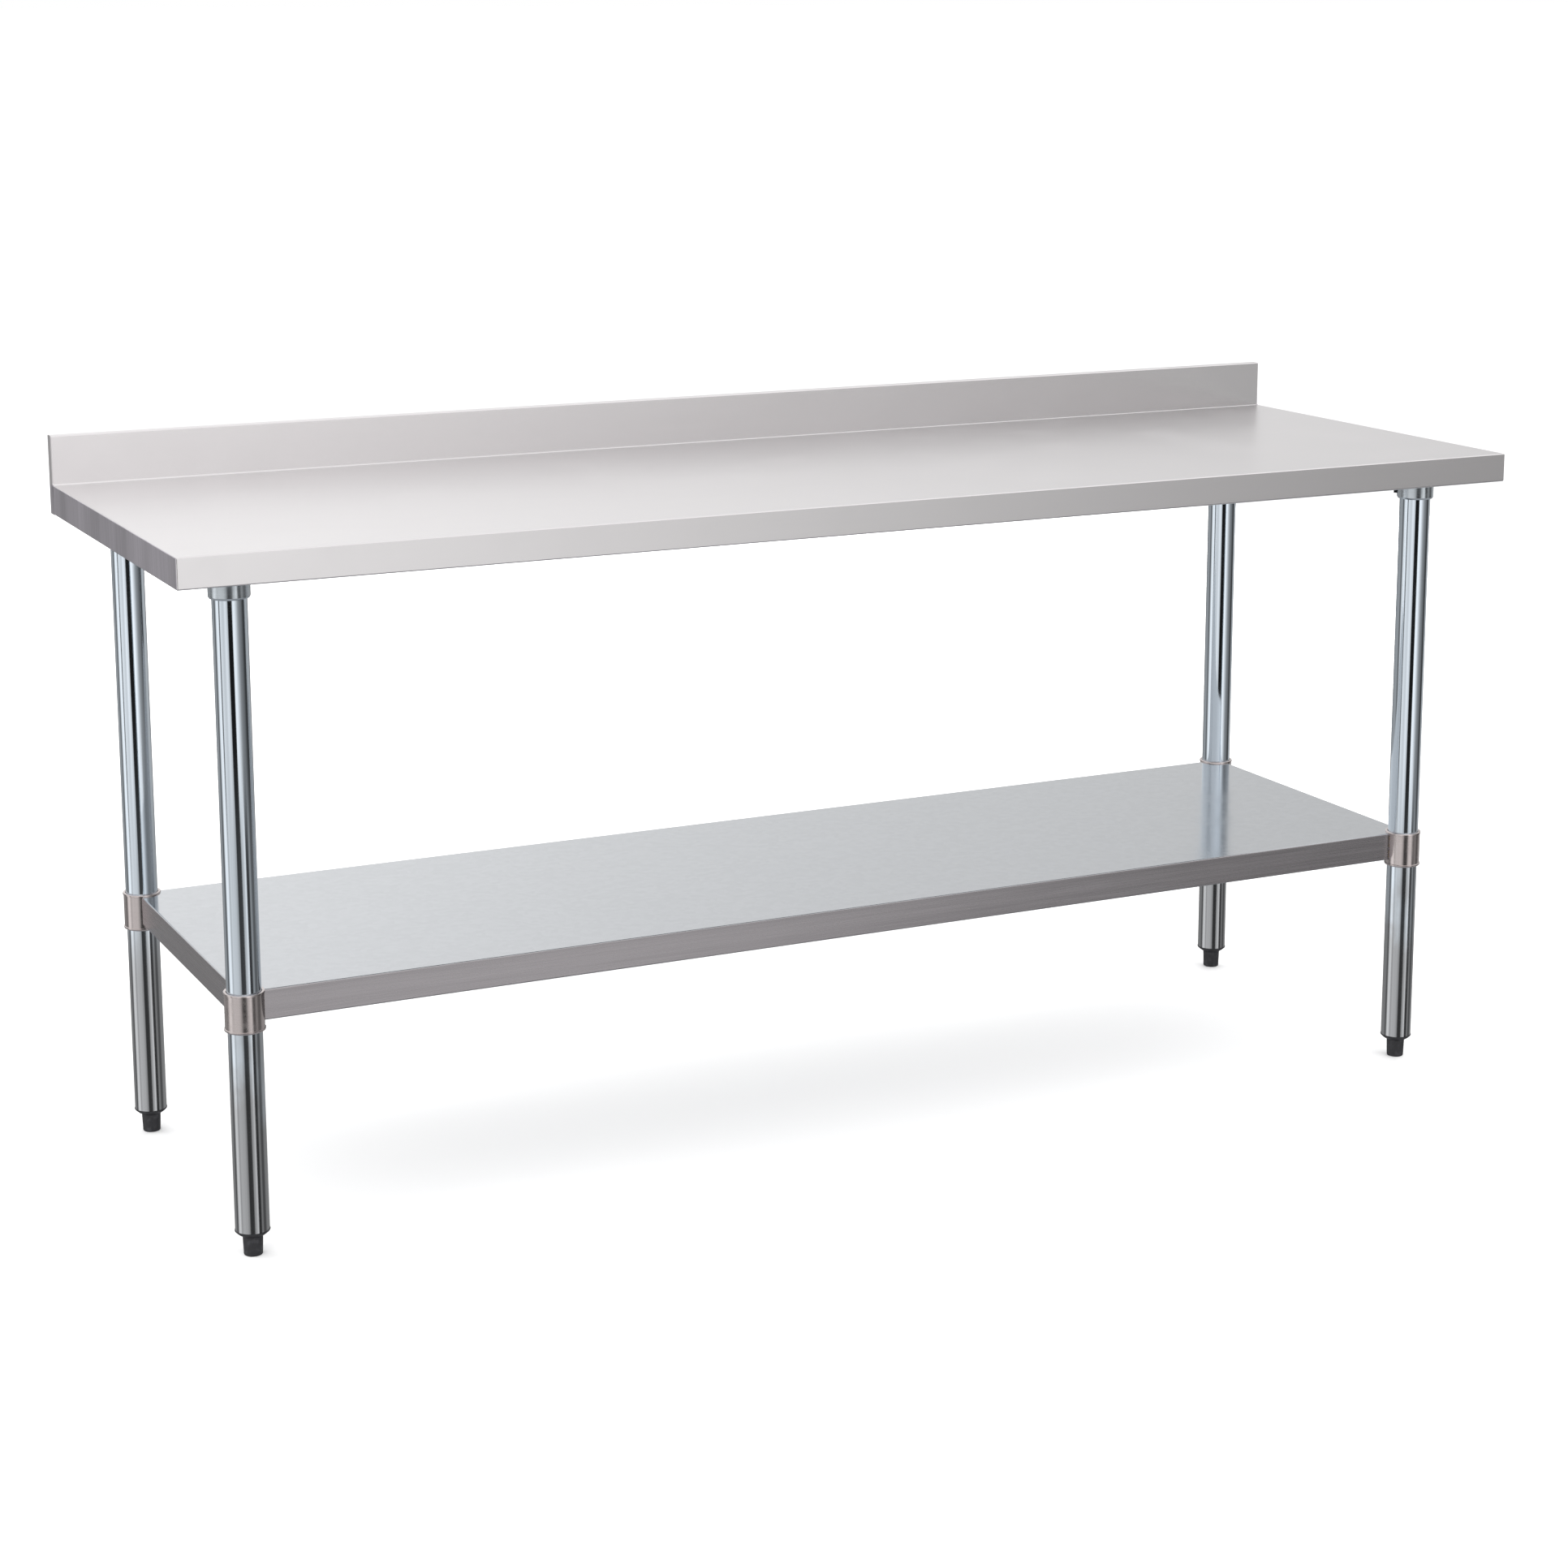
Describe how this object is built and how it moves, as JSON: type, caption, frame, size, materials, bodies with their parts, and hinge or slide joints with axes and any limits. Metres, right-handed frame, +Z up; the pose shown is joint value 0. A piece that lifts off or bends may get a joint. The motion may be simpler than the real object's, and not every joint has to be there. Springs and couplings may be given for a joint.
{
  "type": "work table",
  "caption": "Long work table with a low upturned back, a height-adjustable undershelf, round legs held in sockets and screw-adjusted feet.",
  "frame": {"origin": "on the floor, under the middle of the table's overall length and depth", "axes": "+X along the table to the right as seen by someone working at it, +Y towards the wall behind it, +Z up"},
  "size_m": [1.829, 0.61, 0.9275],
  "materials": {
    "stainless_top": "fine lengthwise satin grain, slightly worn bright along the folded edges",
    "stainless_end": "satin, with a ground weld line",
    "galvanized_channel": "galvanized, faint crystal pattern",
    "zinc_hardware": "zinc plated",
    "leg_socket": "bright zinc plated, machined lower rim",
    "leg_tube": "bright drawn tube with lengthwise grain",
    "galvanized_shelf": "galvanized, soft blurred shine",
    "shelf_collar": "satin, turned",
    "set_screw": "blackened steel",
    "black_plastic": "moulded, lightly textured"
  },
  "bodies": {
    "frame": {"worktop": "stainless_top", "splash_end_left": "stainless_end", "splash_end_right": "stainless_end", "cross_channel_left": "galvanized_channel", "cross_channel_right": "galvanized_channel", "long_channel": "galvanized_channel", "weld_studs": "zinc_hardware", "weld_stud_nuts": "zinc_hardware", "leg_socket_front_left": "leg_socket", "leg_socket_front_right": "leg_socket", "leg_socket_rear_left": "leg_socket", "leg_socket_rear_right": "leg_socket", "socket_set_screws": "set_screw", "leg_front_left": "leg_tube", "leg_front_right": "leg_tube", "leg_rear_left": "leg_tube", "leg_rear_right": "leg_tube", "foot_insert_front_left": "black_plastic", "foot_insert_front_right": "black_plastic", "foot_insert_rear_left": "black_plastic", "foot_insert_rear_right": "black_plastic", "foot_nuts": "zinc_hardware"},
    "shelf": {"undershelf": "galvanized_shelf", "shelf_channel": "galvanized_channel", "shelf_collar_front_left": "shelf_collar", "shelf_collar_front_right": "shelf_collar", "shelf_collar_rear_left": "shelf_collar", "shelf_collar_rear_right": "shelf_collar", "shelf_set_screws": "set_screw"},
    "stud_front_left": {"foot_stud_front_left": "zinc_hardware"},
    "stud_front_right": {"foot_stud_front_right": "zinc_hardware"},
    "stud_rear_left": {"foot_stud_rear_left": "zinc_hardware"},
    "stud_rear_right": {"foot_stud_rear_right": "zinc_hardware"},
    "tip_front_left": {"foot_tip_front_left": "black_plastic"},
    "tip_front_right": {"foot_tip_front_right": "black_plastic"},
    "tip_rear_left": {"foot_tip_rear_left": "black_plastic"},
    "tip_rear_right": {"foot_tip_rear_right": "black_plastic"}
  },
  "joints": [
    {"name": "shelf_height", "type": "slide", "parent": "frame", "child": "shelf", "axis": [0, 0, 1], "range_m": [-0.22, 0.44]},
    {"name": "foot_travel_front_left", "type": "slide", "parent": "frame", "child": "stud_front_left", "axis": [0, 0, -1], "range_m": [0, 0.025]},
    {"name": "foot_turn_front_left", "type": "hinge", "parent": "stud_front_left", "child": "tip_front_left", "pos_m": [-0.8315, -0.22, 0.012], "axis": [0, 0, -1], "range_deg": [0, 6000]},
    {"name": "foot_travel_front_right", "type": "slide", "parent": "frame", "child": "stud_front_right", "axis": [0, 0, -1], "range_m": [0, 0.025]},
    {"name": "foot_turn_front_right", "type": "hinge", "parent": "stud_front_right", "child": "tip_front_right", "pos_m": [0.8315, -0.22, 0.012], "axis": [0, 0, -1], "range_deg": [0, 6000]},
    {"name": "foot_travel_rear_left", "type": "slide", "parent": "frame", "child": "stud_rear_left", "axis": [0, 0, -1], "range_m": [0, 0.025]},
    {"name": "foot_turn_rear_left", "type": "hinge", "parent": "stud_rear_left", "child": "tip_rear_left", "pos_m": [-0.8315, 0.253, 0.012], "axis": [0, 0, -1], "range_deg": [0, 6000]},
    {"name": "foot_travel_rear_right", "type": "slide", "parent": "frame", "child": "stud_rear_right", "axis": [0, 0, -1], "range_m": [0, 0.025]},
    {"name": "foot_turn_rear_right", "type": "hinge", "parent": "stud_rear_right", "child": "tip_rear_right", "pos_m": [0.8315, 0.253, 0.012], "axis": [0, 0, -1], "range_deg": [0, 6000]}
  ],
  "couplings": [
    {"joint": "foot_turn_front_left", "follows": "foot_travel_front_left", "rad_per_m": 4188.8},
    {"joint": "foot_turn_front_right", "follows": "foot_travel_front_right", "rad_per_m": 4188.8},
    {"joint": "foot_turn_rear_left", "follows": "foot_travel_rear_left", "rad_per_m": 4188.8},
    {"joint": "foot_turn_rear_right", "follows": "foot_travel_rear_right", "rad_per_m": 4188.8}
  ]
}
